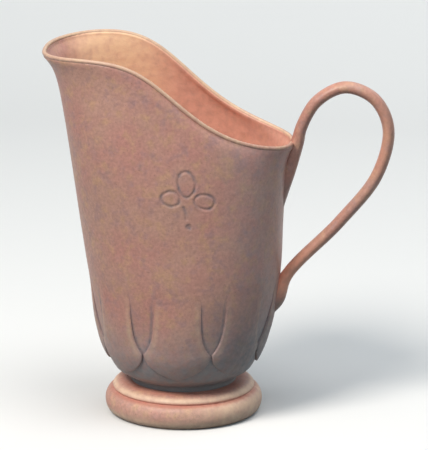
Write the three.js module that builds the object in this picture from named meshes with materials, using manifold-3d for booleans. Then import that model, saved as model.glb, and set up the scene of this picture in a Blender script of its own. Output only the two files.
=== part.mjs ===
import * as THREE from 'three';
import { mergeVertices } from 'three/addons/utils/BufferGeometryUtils.js';
import Module from 'manifold-3d';

// Helmet-shaped ceramic pitcher: millimetres, +Z up, spout towards -X, handle towards +X.

// Clay thickness and the slip line left at each luted joint
const wall = 2.4;
const floorThickness = 5.5;
const floorFillet = 16;
const slip = 0.3;

// Foot: two rounded beads with a groove between them, hollow below
const footRadius = 46.6;
const footHeight = 19.4;
const lowerBeadHeight = 14.2;
const upperBeadRadius = 42.2;
const footGroove = 0.9;
const footRestWidth = 8;
const footEdge = 5;
const footTopRadius = 33.5;
const lowerBeadTurn = 62;
const upperBeadTurn = 84;

// Neck collar between the foot and the cup
const collarHeight = 3;
const collarRadius = 31.4;
const collarHollowRadius = 25;
const collarHollow = 0.9;
const collarHollowTurn = 60;

// Cup: its round bowl, then its reach towards the spout and the handle, and its width across the belly
// with the shares of that width higher up
const cupBaseRadius = 32.6;
const bowlRise = 5.2;
const bowlRadius = 40.6;
const shoulderRise = 22.5;
const shoulderRadius = 48;
const cupWidth = 104;
const waistWidthShare = 0.98;
const throatWidthShare = 0.82;
const mouthWidthShare = 0.827;
const bellyHeight = 90;
const bellyToSpout = 56.6;
const bellyToHandle = 57.8;
const waistHeight = 140;
const waistToSpout = 63.9;
const waistToHandle = 60;
const throatHeight = 222;
const throatToSpout = 75.6;
const throatToHandle = 61.2;

// Mouth: middle line of the rolled lip in plan, and its S-shaped sweep in height
const mouthToSpout = 80.6;
const mouthToHandle = 63.9;
const mouthSquareness = 2.5;
const mouthEgg = 0.12;
const spoutHeight = 219.8;
const handleRimHeight = 156.3;
const sweepCentre = 8.8;
const sweepLength = 39.5;
const sweepEase = 0.31;
const spoutDip = 2;
const spoutDipStart = 45;
const flareDepth = 6.5;
const lipRadius = 1.4;

// Handle: a loop in the middle plane that passes the lip, wiped onto the wall at both ends
const handleThickness = 7;
const handleWidth = 10.6;
const archHeight = 197.7;
const archOuterReach = 120.2;
const archInnerReach = 69.3;
const archDrop = 24.2;
const archShoulder = 0.67;
const archShoulderDrop = 6.6;
const archHaunch = 0.64;
const archHaunchDrop = 8.4;
const elbowReach = 113.7;
const elbowHeight = 145.5;
const slopeReach = 92;
const slopeHeight = 116.8;
const lowerRootHeight = 83.5;
const lowerRootStandOff = 4.1;
const lowerPadHeight = 68;
const lowerPadStandOff = 2;
const lowerTailHeight = 60;
const lipStandOff = 3.4;
const upperRootHeight = 150;
const upperRootStandOff = 2.6;
const upperTailHeight = 126;
const tailSink = 3.4;

// Petals round the lower cup, those in the middle of its two broad sides a little wider
const petalCount = 8;
const broadPetalTurn = 48.6;
const petalBaseRise = 8;
const petalTopHeight = 92;
const petalRoundHeight = 45.5;
const petalFootTaper = 1.4;
const petalWidestHeight = 46.5;
const petalSideHeight = 76;
const petalSideShare = 0.65;
const petalFlare = 7;
const petalGap = 0.7;
const petalTipShare = 0.08;
const petalCrown = 1.9;
const petalEdge = 0.7;
const petalTipRelief = 0.5;
const petalFootShare = 0.4;

// Incised sprig of three leaves, a stem and a bud on each side
const sprigHeight = 140;
const sprigAlong = 9.5;
const topLeafLength = 13.4;
const topLeafWidth = 9.8;
const topLeafStart = 3.2;
const sideLeafLength = 10.8;
const sideLeafWidth = 8.4;
const sideLeafStart = 5;
const sideLeafTilt = 79;
const droopLeafTilt = 91;
const stemDrop = 3;
const stemAside = 2.6;
const stemLength = 6.8;
const stemLean = 1.5;
const budDrop = 14.4;
const budRadius = 1.5;
const incision = 0.55;

// Facets
const turnSegments = 64;
const lipSegments = 88;
const lipSides = 8;
const handleSegments = 48;
const handleSides = 7;
const bowlRows = 8;
const wallRows = 11;
const innerRows = 8;
const filletRows = 5;
const beadSteps = 4;
const petalColumns = 5;
const petalSideRows = 5;
const petalTipRows = 5;
const leafSteps = 20;
const grooveSides = 5;
const rowEase = 1.6;

const bellyToSide = cupWidth / 2;
const waistToSide = bellyToSide * waistWidthShare;
const throatToSide = bellyToSide * throatWidthShare;
const mouthToSide = bellyToSide * mouthWidthShare;
const collarBase = footHeight + slip;
const cupBase = collarBase + collarHeight + slip;
const shoulderHeight = cupBase + shoulderRise;
const floorTop = cupBase + floorThickness;

const wasm = await Module();
wasm.setup();

// Smooth curve through stations of height and reach, without overshoot
function fairCurve(stations) {
  const slopes = stations.slice(1).map((next, i) => (next[1] - stations[i][1]) / (next[0] - stations[i][0]));
  const tangents = stations.map((station, i) => {
    if (i === 0) return slopes[0];
    if (i === slopes.length) return slopes[i - 1];
    if (slopes[i - 1] * slopes[i] <= 0) return 0;
    return (2 * slopes[i - 1] * slopes[i]) / (slopes[i - 1] + slopes[i]);
  });
  return (height) => {
    let i = stations.findIndex((station, k) => k > 0 && height <= station[0]);
    if (i < 0) i = stations.length - 1;
    const [h0, r0] = stations[i - 1];
    const [h1, r1] = stations[i];
    const span = h1 - h0;
    const t = (height - h0) / span;
    const rise = r0 + (r1 - r0) * t * t * (3 - 2 * t);
    return rise + span * t * (1 - t) * (tangents[i - 1] * (1 - t) - tangents[i] * t);
  };
}

const bowl = [
  [cupBase, cupBaseRadius],
  [cupBase + bowlRise, bowlRadius],
  [shoulderHeight, shoulderRadius],
];
const toSpout = fairCurve([...bowl, [bellyHeight, bellyToSpout], [waistHeight, waistToSpout],
  [throatHeight, throatToSpout]]);
const toHandle = fairCurve([...bowl, [bellyHeight, bellyToHandle], [waistHeight, waistToHandle],
  [throatHeight, throatToHandle]]);
const toSide = fairCurve([...bowl, [bellyHeight, bellyToSide], [waistHeight, waistToSide],
  [throatHeight, throatToSide]]);

// Point of an oval that reaches unequally towards the spout and the handle and narrows towards the handle
function oval(turn, spoutReach, handleReach, sideReach, squareness, egg) {
  const half = (spoutReach + handleReach) / 2;
  const across = Math.abs(Math.cos(turn) / half) ** squareness;
  const reach = (across + Math.abs(Math.sin(turn) / sideReach) ** squareness) ** (-1 / squareness);
  const along = reach * Math.cos(turn);
  const narrowed = 1 - (egg * along) / half;
  return new THREE.Vector2((handleReach - spoutReach) / 2 + along, reach * Math.sin(turn) * narrowed);
}

function sectionAt(turn, height) {
  const rise = THREE.MathUtils.smoothstep(height, shoulderHeight, throatHeight);
  const squareness = 2 + (mouthSquareness - 2) * rise;
  return oval(turn, toSpout(height), toHandle(height), toSide(height), squareness, mouthEgg * rise);
}

// Lip's middle line in plan
function mouthAt(turn) {
  return oval(turn, mouthToSpout, mouthToHandle, mouthToSide, mouthSquareness, mouthEgg);
}

// Height of the lip's middle line above a point of the plan
function sweepHeight(x) {
  const middle = (spoutHeight + handleRimHeight) / 2;
  const drop = (spoutHeight - handleRimHeight) / 2;
  const along = x - sweepCentre;
  const dip = Math.max(0, -spoutDipStart - x) / (mouthToSpout - spoutDipStart);
  return middle - drop * Math.tanh(along / (sweepLength + sweepEase * along)) - spoutDip * dip * dip;
}

function lipPoint(turn) {
  const plan = mouthAt(turn);
  return new THREE.Vector3(plan.x, plan.y, sweepHeight(plan.x));
}

// Top of the wall, a slip line below the rolled lip measured square to the sweep
const finite = 0.001;
function wallTop(turn) {
  const ahead = lipPoint(turn + finite);
  const behind = lipPoint(turn - finite);
  const run = Math.hypot(ahead.x - behind.x, ahead.y - behind.y);
  const slope = (ahead.z - behind.z) / run;
  return lipPoint(turn).z - (lipRadius + slip) * Math.sqrt(1 + slope * slope);
}

// Outer edge of the wall at the mouth, half a wall outside the lip's middle line
function mouthEdge(turn) {
  const along = mouthAt(turn + finite).sub(mouthAt(turn - finite)).normalize();
  return mouthAt(turn).add(new THREE.Vector2(along.y, -along.x).multiplyScalar(wall / 2));
}

// Outer face of the cup: the oval section, flared out to the lip just below the mouth
function wallPoint(turn, height) {
  const top = wallTop(turn);
  const point = sectionAt(turn, height);
  if (height > shoulderHeight) {
    const flare = mouthEdge(turn).sub(sectionAt(turn, top));
    const near = Math.exp(-Math.max(0, top - height) / flareDepth);
    const fade = THREE.MathUtils.smoothstep(height, shoulderHeight, waistHeight);
    point.addScaledVector(flare, near * fade);
  }
  return new THREE.Vector3(point.x, point.y, height);
}

// The same face moved along its outward normal
function wallOffset(turn, height, offset) {
  const along = wallPoint(turn + finite, height).sub(wallPoint(turn - finite, height));
  const up = wallPoint(turn, height + finite).sub(wallPoint(turn, height - finite));
  return wallPoint(turn, height).addScaledVector(along.cross(up).normalize(), offset);
}

function turned(profile, segments = turnSegments) {
  const points = profile.map(([reach, height]) => new THREE.Vector2(reach, height));
  return new THREE.LatheGeometry(points, segments).rotateX(Math.PI / 2);
}

function bend(geometry, place) {
  const position = geometry.attributes.position;
  const point = new THREE.Vector3();
  for (let i = 0; i < position.count; i++) {
    point.fromBufferAttribute(position, i);
    const bent = place(point);
    position.setXYZ(i, bent.x, bent.y, bent.z);
  }
  return geometry;
}

function toSolid(geometry) {
  const bare = geometry.clone();
  bare.deleteAttribute('normal');
  bare.deleteAttribute('uv');
  const merged = mergeVertices(bare, 1e-5);
  const corners = merged.index.array;
  const kept = [];
  for (let i = 0; i < corners.length; i += 3) {
    const [a, b, c] = corners.slice(i, i + 3);
    if (a !== b && b !== c && c !== a) kept.push(a, b, c);
  }
  const vertProperties = new Float32Array(merged.attributes.position.array);
  return new wasm.Manifold(new wasm.Mesh({ numProp: 3, vertProperties, triVerts: new Uint32Array(kept) }));
}

function toGeometry(solid) {
  const mesh = solid.getMesh();
  const geometry = new THREE.BufferGeometry();
  geometry.setAttribute('position', new THREE.BufferAttribute(mesh.vertProperties, 3));
  geometry.setIndex(new THREE.BufferAttribute(mesh.triVerts, 1));
  geometry.computeVertexNormals();
  return geometry;
}

// The cup is first a plain round pot and is then squeezed oval and cut to the sweep
function eased(count, ease) {
  return Array.from({ length: count + 1 }, (step, i) => ease(i / count));
}
const plainTop = throatHeight;
const plainRadius = (height) => sectionAt(Math.PI / 2, height).y;
const bowlHeights = eased(bowlRows, (t) => cupBase + shoulderRise * (1 - Math.cos((t * Math.PI) / 2)));
const denserUp = (t) => shoulderHeight + (plainTop - shoulderHeight) * (1 - (1 - t) ** rowEase);
const wallHeights = eased(wallRows, denserUp).slice(1);
const innerHeights = eased(innerRows, denserUp).reverse();
const filletTop = floorTop + floorFillet;
const filletAngles = eased(filletRows, (t) => (t * Math.PI) / 2);

const outerProfile = [
  [0, cupBase],
  ...bowlHeights.map((height) => [plainRadius(height), height]),
  ...wallHeights.map((height) => [plainRadius(height), height]),
];
const innerProfile = [
  ...innerHeights.map((height) => [plainRadius(height) - wall, height]),
  ...filletAngles.map((angle) => {
    const height = filletTop - floorFillet * Math.sin(angle);
    return [plainRadius(height) - wall - floorFillet * (1 - Math.cos(angle)), height];
  }),
  [0, floorTop],
];

function squeeze(grow) {
  return (point) => {
    const reach = Math.hypot(point.x, point.y);
    const turn = Math.atan2(point.y, point.x);
    if (point.z <= shoulderHeight) {
      const round = wallPoint(turn, point.z);
      const share = reach > 0 ? (reach + grow) / plainRadius(point.z) : 0;
      return new THREE.Vector3(round.x * share, round.y * share, point.z);
    }
    const share = (point.z - shoulderHeight) / (plainTop - shoulderHeight);
    const height = shoulderHeight + share * (wallTop(turn) - shoulderHeight);
    const inset = reach - plainRadius(point.z) + grow;
    const along = wallPoint(turn + finite, height).sub(wallPoint(turn - finite, height));
    const outward = new THREE.Vector3(along.y, -along.x, 0).normalize();
    return wallPoint(turn, height).addScaledVector(outward, inset);
  };
}
const cup = toSolid(bend(turned([...outerProfile, ...innerProfile]), squeeze(0)));

// Filled cup, one slip line larger, that trims whatever is luted against the wall
const trimmer = toSolid(bend(turned([...outerProfile, [0, plainTop]]), squeeze(slip)));

// Sprig incised in the wall of one side
function sprigCutters(side) {
  const middle = side * (Math.PI / 2);
  const onWall = (across, up) => {
    const turn = middle - (side * (sprigAlong + across)) / waistToSide;
    return wallPoint(turn, sprigHeight + up);
  };
  const trefoil = [
    [0, topLeafStart, topLeafLength, topLeafWidth],
    [droopLeafTilt, sideLeafStart, sideLeafLength, sideLeafWidth],
    [-sideLeafTilt, sideLeafStart, sideLeafLength, sideLeafWidth],
  ];
  const leaves = trefoil.map(([tilt, start, length, width]) => {
    const lean = THREE.MathUtils.degToRad(tilt);
    const outline = Array.from({ length: leafSteps }, (step, i) => {
      const angle = (i / leafSteps) * 2 * Math.PI;
      const along = start + (length * (1 - Math.cos(angle))) / 2;
      const across = (width * Math.sin(angle)) / 2;
      const aside = along * Math.sin(lean) + across * Math.cos(lean);
      return onWall(aside, along * Math.cos(lean) - across * Math.sin(lean));
    });
    const path = new THREE.CatmullRomCurve3(outline, true);
    return toSolid(new THREE.TubeGeometry(path, leafSteps, incision, grooveSides, true));
  });
  const stemTop = onWall(-stemAside, -stemDrop);
  const stemPath = new THREE.LineCurve3(stemTop, onWall(stemLean - stemAside, -stemDrop - stemLength));
  const stemSection = new THREE.Shape().absarc(0, 0, incision, 0, 2 * Math.PI);
  const stemOptions = { steps: 1, curveSegments: grooveSides, extrudePath: stemPath, bevelEnabled: false };
  const stem = toSolid(new THREE.ExtrudeGeometry(stemSection, stemOptions));
  const budPlace = onWall(0, -budDrop);
  const budBall = new THREE.SphereGeometry(budRadius, 2 * grooveSides, grooveSides);
  const bud = toSolid(budBall.translate(...budPlace));
  return [...leaves, stem, bud];
}
const cutters = [...sprigCutters(-1), ...sprigCutters(1)];
const incised = cutters.reduce((solid, cutter) => solid.subtract(cutter), cup);

// Rolled lip round the mouth
class LipCurve extends THREE.Curve {
  getPoint(t) {
    return lipPoint(2 * Math.PI * t);
  }
}
const lipCurve = new LipCurve();
const lipGeometry = new THREE.TubeGeometry(lipCurve, lipSegments, lipRadius, lipSides, true);
const lipTrimmer = toSolid(new THREE.TubeGeometry(lipCurve, lipSegments, lipRadius + slip, lipSides, true));

// Handle: the tails follow the wall, the loop stands clear of it
const onHandleSide = (height, standOff) => wallPoint(0, height).x + standOff;
const archMiddle = (archOuterReach + archInnerReach) / 2;
const archHalf = (archOuterReach - archInnerReach) / 2;
const handleRoute = [
  [onHandleSide(upperTailHeight, -tailSink), upperTailHeight],
  [onHandleSide(upperRootHeight, upperRootStandOff), upperRootHeight],
  [mouthToHandle + lipStandOff, sweepHeight(mouthToHandle)],
  [archInnerReach, archHeight - archDrop],
  [archMiddle - archHalf * archHaunch, archHeight - archHaunchDrop],
  [archMiddle, archHeight],
  [archMiddle + archHalf * archShoulder, archHeight - archShoulderDrop],
  [archOuterReach, archHeight - archDrop],
  [elbowReach, elbowHeight],
  [slopeReach, slopeHeight],
  [onHandleSide(lowerRootHeight, lowerRootStandOff), lowerRootHeight],
  [onHandleSide(lowerPadHeight, lowerPadStandOff), lowerPadHeight],
  [onHandleSide(lowerTailHeight, -tailSink), lowerTailHeight],
];
const handlePath = new THREE.CatmullRomCurve3(handleRoute.map(([x, z]) => new THREE.Vector3(x, 0, z)));
const handleSection = new THREE.Shape();
handleSection.absellipse(0, 0, handleWidth / 2, handleThickness / 2, 0, 2 * Math.PI);
const handleOptions = {
  steps: handleSegments,
  curveSegments: handleSides,
  extrudePath: handlePath,
  bevelEnabled: false,
};
const handleSolid = toSolid(new THREE.ExtrudeGeometry(handleSection, handleOptions));

// Petals: tongues that stand edge to edge round the bowl, draw in above it and round off at both ends
const broadPetals = petalCount % 2 === 0 ? 2 : 1;
const broadPetal = THREE.MathUtils.degToRad(broadPetalTurn);
const plainPetal = (2 * Math.PI - broadPetals * broadPetal) / (petalCount - broadPetals);
const petalWidths = Array.from({ length: petalCount }, (petal, i) => {
  return i % (petalCount / 2) === 0 ? broadPetal : plainPetal;
});
const petalTurns = petalWidths.map((width, i) => {
  const before = petalWidths.slice(0, i).reduce((sum, other) => sum + other, 0);
  return before + (width - broadPetal - Math.PI) / 2;
});
const petalBase = cupBase + petalBaseRise;
const petalFootRise = petalRoundHeight - petalBase;
const petalTipRise = petalTopHeight - petalSideHeight;
const roundedOff = (t, taper) => Math.max(petalTipShare, Math.sqrt(Math.max(0, 1 - t * t)) ** taper);
function petalShare(height) {
  const below = (petalRoundHeight - height) / petalFootRise;
  if (below >= 0) return roundedOff(below, petalFootTaper);
  if (height <= petalWidestHeight) return 1;
  const risen = Math.min(height, petalSideHeight) - petalWidestHeight;
  const share = petalSideShare + (1 - petalSideShare) * Math.exp(-risen / petalFlare);
  if (height <= petalSideHeight) return share;
  return share * roundedOff((height - petalSideHeight) / petalTipRise, 1);
}
function petalRelief(across, height) {
  const rise = THREE.MathUtils.smoothstep(height, petalWidestHeight, petalTopHeight);
  const foot = THREE.MathUtils.smoothstep(height, petalBase, petalWidestHeight);
  const fullness = petalFootShare + (1 - petalFootShare) * foot;
  const crown = petalEdge + (petalCrown - petalEdge) * (1 - across * across) * fullness;
  return crown * (1 - rise) + petalTipRelief * rise;
}
const petalFootHeights = [petalBase, ...bowlHeights.filter((height) => height > petalBase + slip)];
const petalHeights = [
  ...petalFootHeights.flatMap((height, i) => (i ? [(petalFootHeights[i - 1] + height) / 2, height] : [height])),
  ...eased(petalSideRows, (t) => shoulderHeight + (petalSideHeight - shoulderHeight) * t ** rowEase).slice(1),
  ...eased(petalTipRows, (t) => petalSideHeight + petalTipRise * Math.sin((t * Math.PI) / 2)).slice(1),
];
function petalGeometry(index, grow) {
  const rows = petalHeights.length - 1;
  const box = new THREE.BoxGeometry(2, rows, 1, petalColumns, rows, 1);
  const halfTurn = petalWidths[index] / 2 + (grow - petalGap / 2) / shoulderRadius;
  return bend(box, (point) => {
    const height = petalHeights[Math.round(point.y + rows / 2)];
    const relief = point.z > 0 ? petalRelief(point.x, height) + grow : -grow;
    return wallOffset(petalTurns[index] + point.x * halfTurn * petalShare(height), height, slip + relief);
  });
}

// The handle's ends are luted onto the wall, the lip and the petal below it
const overLip = handleSolid.subtract(trimmer).subtract(lipTrimmer);
const strap = petalTurns.reduce((solid, turn, i) => solid.subtract(toSolid(petalGeometry(i, slip))), overLip);

// Foot and collar profiles, closed rings read from the inner edge of the base round to the inside
function arc(reach, height, radius, rise, from, to) {
  return eased(beadSteps, (t) => {
    const angle = THREE.MathUtils.degToRad(from + (to - from) * t);
    return [reach + radius * Math.cos(angle), height + rise * Math.sin(angle)];
  });
}
const restInner = footRadius - footEdge - footRestWidth;
const upperBeadBase = lowerBeadHeight + footGroove;
const grooveRadius = upperBeadRadius - footGroove;
const upperBeadDepth = upperBeadRadius - footTopRadius;
const footProfile = [
  [restInner, 0],
  ...arc(footRadius - footEdge, lowerBeadHeight / 2, footEdge, lowerBeadHeight / 2, -90, lowerBeadTurn),
  [grooveRadius, lowerBeadHeight],
  ...arc(footTopRadius, upperBeadBase, upperBeadDepth, footHeight - upperBeadBase, 0, upperBeadTurn),
  [footTopRadius - footEdge, footHeight],
  [footTopRadius - footEdge, lowerBeadHeight],
  [restInner, 0],
];
const collarTop = collarBase + collarHeight;
const collarMiddle = (collarBase + collarTop) / 2;
const collarProfile = [
  [collarHollowRadius, collarBase],
  [collarRadius, collarBase],
  ...arc(collarRadius, collarMiddle, -collarHollow, collarHeight / 2, -collarHollowTurn, collarHollowTurn),
  [collarRadius, collarTop],
  [collarHollowRadius, collarTop],
  [collarHollowRadius, collarBase],
];

const clay = (color, roughness) => new THREE.MeshStandardMaterial({ color, roughness, metalness: 0 });
const pitcher = new THREE.Group();
function add(name, geometry, color, roughness) {
  const mesh = new THREE.Mesh(geometry, clay(color, roughness));
  mesh.name = name;
  pitcher.add(mesh);
}

add('body', toGeometry(incised), 0xb38573, 0.5);
add('lip_roll', lipGeometry, 0xd8b294, 0.45);
add('neck_collar', turned(collarProfile), 0x8a6055, 0.6);
add('foot', turned(footProfile), 0xc4967e, 0.5);
add('handle', toGeometry(strap), 0xc89f86, 0.45);
petalTurns.forEach((turn, i) => add(`petal_${i + 1}`, petalGeometry(i, 0), 0xaf7f6e, 0.5));

// The frame's origin lies on the table below the middle of the whole pitcher
const box = new THREE.Box3().setFromObject(pitcher);
pitcher.position.x = -(box.min.x + box.max.x) / 2;

const assembly = new THREE.Group();
assembly.add(pitcher);
export default assembly;
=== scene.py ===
import bpy
import numpy as np
from mathutils import Matrix, Vector


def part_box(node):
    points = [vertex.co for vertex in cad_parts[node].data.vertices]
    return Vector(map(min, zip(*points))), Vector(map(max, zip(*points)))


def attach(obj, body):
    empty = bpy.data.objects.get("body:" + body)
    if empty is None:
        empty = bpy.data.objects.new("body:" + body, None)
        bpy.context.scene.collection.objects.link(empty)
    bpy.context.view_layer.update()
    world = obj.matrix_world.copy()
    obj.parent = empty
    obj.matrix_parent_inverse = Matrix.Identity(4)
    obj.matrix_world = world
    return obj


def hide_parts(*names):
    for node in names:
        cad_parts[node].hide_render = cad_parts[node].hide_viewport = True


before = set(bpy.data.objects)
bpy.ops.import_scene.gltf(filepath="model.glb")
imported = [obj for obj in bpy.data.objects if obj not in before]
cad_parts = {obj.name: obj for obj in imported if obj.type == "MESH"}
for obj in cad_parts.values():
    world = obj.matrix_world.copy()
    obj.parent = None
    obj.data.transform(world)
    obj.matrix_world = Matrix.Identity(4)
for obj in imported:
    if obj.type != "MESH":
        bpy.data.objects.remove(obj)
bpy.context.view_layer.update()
footLow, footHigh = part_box("foot")
footAxis = (footLow.x + footHigh.x) / 2  # row frame, metres; the formulas below are in mm from this axis
print("frame loaded:", len(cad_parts), "nodes, foot axis at x =", round(footAxis, 5))

tiny = 0.001  # step of the finite differences, in mm and in radians


# Shared formulas

def ease(x, low, high):
    # 0 below low, 1 above high, 3t^2 - 2t^3 between
    t = np.clip((x - low) / (high - low), 0, 1)
    return t * t * (3 - 2 * t)


def bell(x, width):
    # exp(-(x / width)^2)
    return np.exp(-(x / width) ** 2)


def unit(vectors):
    return vectors / np.linalg.norm(vectors, axis=-1, keepdims=True)


def fairCurve(heights, reaches):
    # cubic through the stations; a tangent is the harmonic mean of the slopes beside it, 0 where they turn
    heights, reaches = np.array(heights, float), np.array(reaches, float)
    slopes = np.diff(reaches) / np.diff(heights)
    product, total = slopes[:-1] * slopes[1:], slopes[:-1] + slopes[1:]
    inner = np.where(product > 0, 2 * product / np.where(product > 0, total, 1), 0)
    tangents = np.concatenate((slopes[:1], inner, slopes[-1:]))

    def reach(height):
        i = np.clip(np.searchsorted(heights, height) - 1, 0, len(heights) - 2)
        span = heights[i + 1] - heights[i]
        t = (height - heights[i]) / span
        rise = reaches[i] + (reaches[i + 1] - reaches[i]) * t * t * (3 - 2 * t)
        return rise + span * t * (1 - t) * (tangents[i] * (1 - t) - tangents[i + 1] * t)

    return reach


def gradedSteps(start, end, count, centres, width, crowding):
    # steps whose density is 1 + crowding * the sum of exp(-((x - centre) / width)^4)
    x = np.linspace(start, end, 6001)
    density = 1 + crowding * sum(np.exp(-((x - c) / width) ** 4) for c in centres)
    filled = np.concatenate(([0], np.cumsum((density[1:] + density[:-1]) / 2 * np.diff(x))))
    return np.interp(np.linspace(0, filled[-1], count + 1), filled, x)


def makePiece(name, rows, masks, node, finish, closedRows=False, startPole=None, endPole=None):
    # rows: a grid of points, ring after ring; each ring closes on itself, the rings close up or end in poles
    rings, steps = rows.shape[:2]
    index = np.arange(rings * steps).reshape(rings, steps)
    lower = index if closedRows else index[:-1]
    upper = np.roll(index, -1, 0) if closedRows else index[1:]
    quads = np.stack((lower, np.roll(lower, -1, 1), np.roll(upper, -1, 1), upper), -1).reshape(-1, 4)
    points, faces = [rows.reshape(-1, 3)], quads.tolist()
    values = {key: [mask.reshape(-1)] for key, mask in masks.items()}
    for pole, ring, turnBack, at in ((startPole, index[0], True, 0), (endPole, index[-1], False, -1)):
        if pole is None:
            continue
        tip = sum(len(p) for p in points)
        points.append(np.array([pole], float))
        after = np.roll(ring, -1)
        first, second = (after, ring) if turnBack else (ring, after)
        faces += np.stack((first, second, np.full(steps, tip)), -1).tolist()
        for key, mask in masks.items():
            values[key].append(mask[at].mean()[None])
    placed = np.concatenate(points) / 1000 + (footAxis, 0, 0)
    mesh = bpy.data.meshes.new(name)
    mesh.from_pydata(placed, [], faces)
    mesh.polygons.foreach_set("use_smooth", np.ones(len(mesh.polygons), bool))
    for key, parts in values.items():
        mesh.attributes.new(key, "FLOAT", "POINT").data.foreach_set("value", np.concatenate(parts).astype("f"))
    mesh.update()
    piece = bpy.data.objects.new(name, mesh)
    bpy.context.scene.collection.objects.link(piece)
    mesh.materials.append(finish)
    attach(piece, "root")
    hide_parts(node)
    print("piece:", name, len(mesh.vertices), "points,", len(mesh.polygons), "faces")
    return piece


# Materials: salmon clay under a thin satin glaze

def linear(red, green, blue):
    # sRGB 0..255 to scene linear
    c = np.array((red, green, blue), float) / 255
    c = np.where(c <= 0.04045, c / 12.92, ((c + 0.055) / 1.055) ** 2.4)
    return (*c.tolist(), 1.0)


def addNode(tree, kind, spot, settings=None, **properties):
    made = tree.nodes.new(kind)
    made.location = spot
    for key, value in properties.items():
        setattr(made, key, value)
    for key, value in (settings or {}).items():
        made.inputs[key].default_value = value
    return made


def newGroup(name, inputs, outputs):
    group = bpy.data.node_groups.new(name, "ShaderNodeTree")
    for label, kind, value in inputs:
        group.interface.new_socket(label, in_out="INPUT", socket_type=kind).default_value = value
    for label, kind in outputs:
        group.interface.new_socket(label, in_out="OUTPUT", socket_type=kind)
    return group, addNode(group, "NodeGroupInput", (-900, 0)), addNode(group, "NodeGroupOutput", (900, 0))


def blendColour(tree, factor, first, second, spot, how="MIX"):
    mixed = addNode(tree, "ShaderNodeMix", spot, data_type="RGBA", blend_type=how)
    tree.links.new(factor, mixed.inputs[0])
    tree.links.new(first, mixed.inputs[6])
    tree.links.new(second, mixed.inputs[7])
    return mixed.outputs[2]


def scaled(tree, value, by, spot):
    times = addNode(tree, "ShaderNodeMath", spot, operation="MULTIPLY", use_clamp=True)
    tree.links.new(value, times.inputs[0])
    if isinstance(by, float):
        times.inputs[1].default_value = by
    else:
        tree.links.new(by, times.inputs[1])
    return times.outputs[0]


def noiseBetween(tree, scale, detail, low, high, spot, vector):
    # noise stretched so that low reads 0 and high reads 1
    noise = addNode(tree, "ShaderNodeTexNoise", spot, {"Scale": scale, "Detail": detail, "Roughness": 0.55})
    tree.links.new(vector, noise.inputs["Vector"])
    span = addNode(tree, "ShaderNodeMapRange", (spot[0] + 170, spot[1]), {"From Min": low, "From Max": high})
    tree.links.new(noise.outputs[0], span.inputs["Value"])
    return span.outputs[0]


mottleLook = {
    "broad": 34.0, "patch": 150.0, "fine": 560.0, "speck": 1150.0, "iron": 0.45, "grain": (0.86, 1.12),
}


def buildMottle():
    # base clay drifts to rose in broad clouds and to ochre and mauve in patches, with grain and iron specks
    colour = "NodeSocketColor"
    group, given, result = newGroup("clayMottle", [
        ("Base", colour, linear(190, 140, 122)), ("Rose", colour, linear(190, 128, 118)),
        ("Ochre", colour, linear(196, 150, 112)), ("Mauve", colour, linear(160, 122, 122)),
        ("Strength", "NodeSocketFloat", 1.0)], [("Color", colour), ("Tone", "NodeSocketFloat")])
    where = addNode(group, "ShaderNodeTexCoord", (-900, 300)).outputs["Object"]
    shifted = addNode(group, "ShaderNodeMapping", (-740, -420), {"Location": (0.37, 0.11, 0.73)})
    group.links.new(where, shifted.inputs[0])
    strength = given.outputs["Strength"]
    clouds = noiseBetween(group, mottleLook["broad"], 2.0, 0.38, 0.64, (-640, 380), where)
    patches = noiseBetween(group, mottleLook["patch"], 3.0, 0.5, 0.72, (-640, 140), where)
    stains = noiseBetween(group, mottleLook["patch"], 3.0, 0.52, 0.74, (-560, -420), shifted.outputs[0])
    grain = noiseBetween(group, mottleLook["fine"], 3.0, 0.3, 0.7, (-640, -100), where)
    specks = noiseBetween(group, mottleLook["speck"], 1.0, 0.7, 0.76, (-560, -640), shifted.outputs[0])
    tint = given.outputs["Base"]
    for label, cover, row in (("Rose", clouds, 380), ("Ochre", patches, 140), ("Mauve", stains, -420)):
        factor = scaled(group, cover, strength, (-260, row))
        tint = blendColour(group, factor, tint, given.outputs[label], (60, row))
    dim, bright = mottleLook["grain"]
    shade = addNode(group, "ShaderNodeMapRange", (-160, -100), {"To Min": dim, "To Max": bright})
    group.links.new(grain, shade.inputs["Value"])
    toned = addNode(group, "ShaderNodeVectorMath", (480, 120), operation="SCALE")
    group.links.new(tint, toned.inputs[0])
    group.links.new(shade.outputs[0], toned.inputs["Scale"])
    iron = addNode(group, "ShaderNodeRGB", (300, -260))
    iron.outputs[0].default_value = linear(104, 70, 58)
    spots = scaled(group, specks, mottleLook["iron"], (120, -560))
    dotted = blendColour(group, spots, toned.outputs[0], iron.outputs[0], (680, 60))
    group.links.new(dotted, result.inputs["Color"])
    group.links.new(grain, result.inputs["Tone"])
    return group


def buildVeil(name, edgeNoise):
    # lays a second colour over the first where a mask is high, with the mask's edge broken up by noise
    colour, number = "NodeSocketColor", "NodeSocketFloat"
    group, given, result = newGroup(name, [
        ("Color", colour, linear(190, 140, 122)), ("Veil", colour, linear(228, 196, 160)),
        ("Mask", number, 0.0), ("Amount", number, 0.8)], [("Color", colour)])
    where = addNode(group, "ShaderNodeTexCoord", (-900, 300)).outputs["Object"]
    ragged = noiseBetween(group, edgeNoise, 3.0, 0.28, 0.7, (-640, 300), where)
    lifted = addNode(group, "ShaderNodeMapRange", (-260, 300), {"To Min": 0.55, "To Max": 1.25})
    group.links.new(ragged, lifted.inputs["Value"])
    amount = scaled(group, given.outputs["Mask"], given.outputs["Amount"], (-260, 0))
    factor = scaled(group, amount, lifted.outputs[0], (-60, 100))
    group.links.new(blendColour(group, factor, given.outputs["Color"], given.outputs["Veil"], (200, 60)),
                    result.inputs["Color"])
    return group


grainLook = {"tooth": 1500.0, "swell": 240.0, "toothShare": 0.3}


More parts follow.
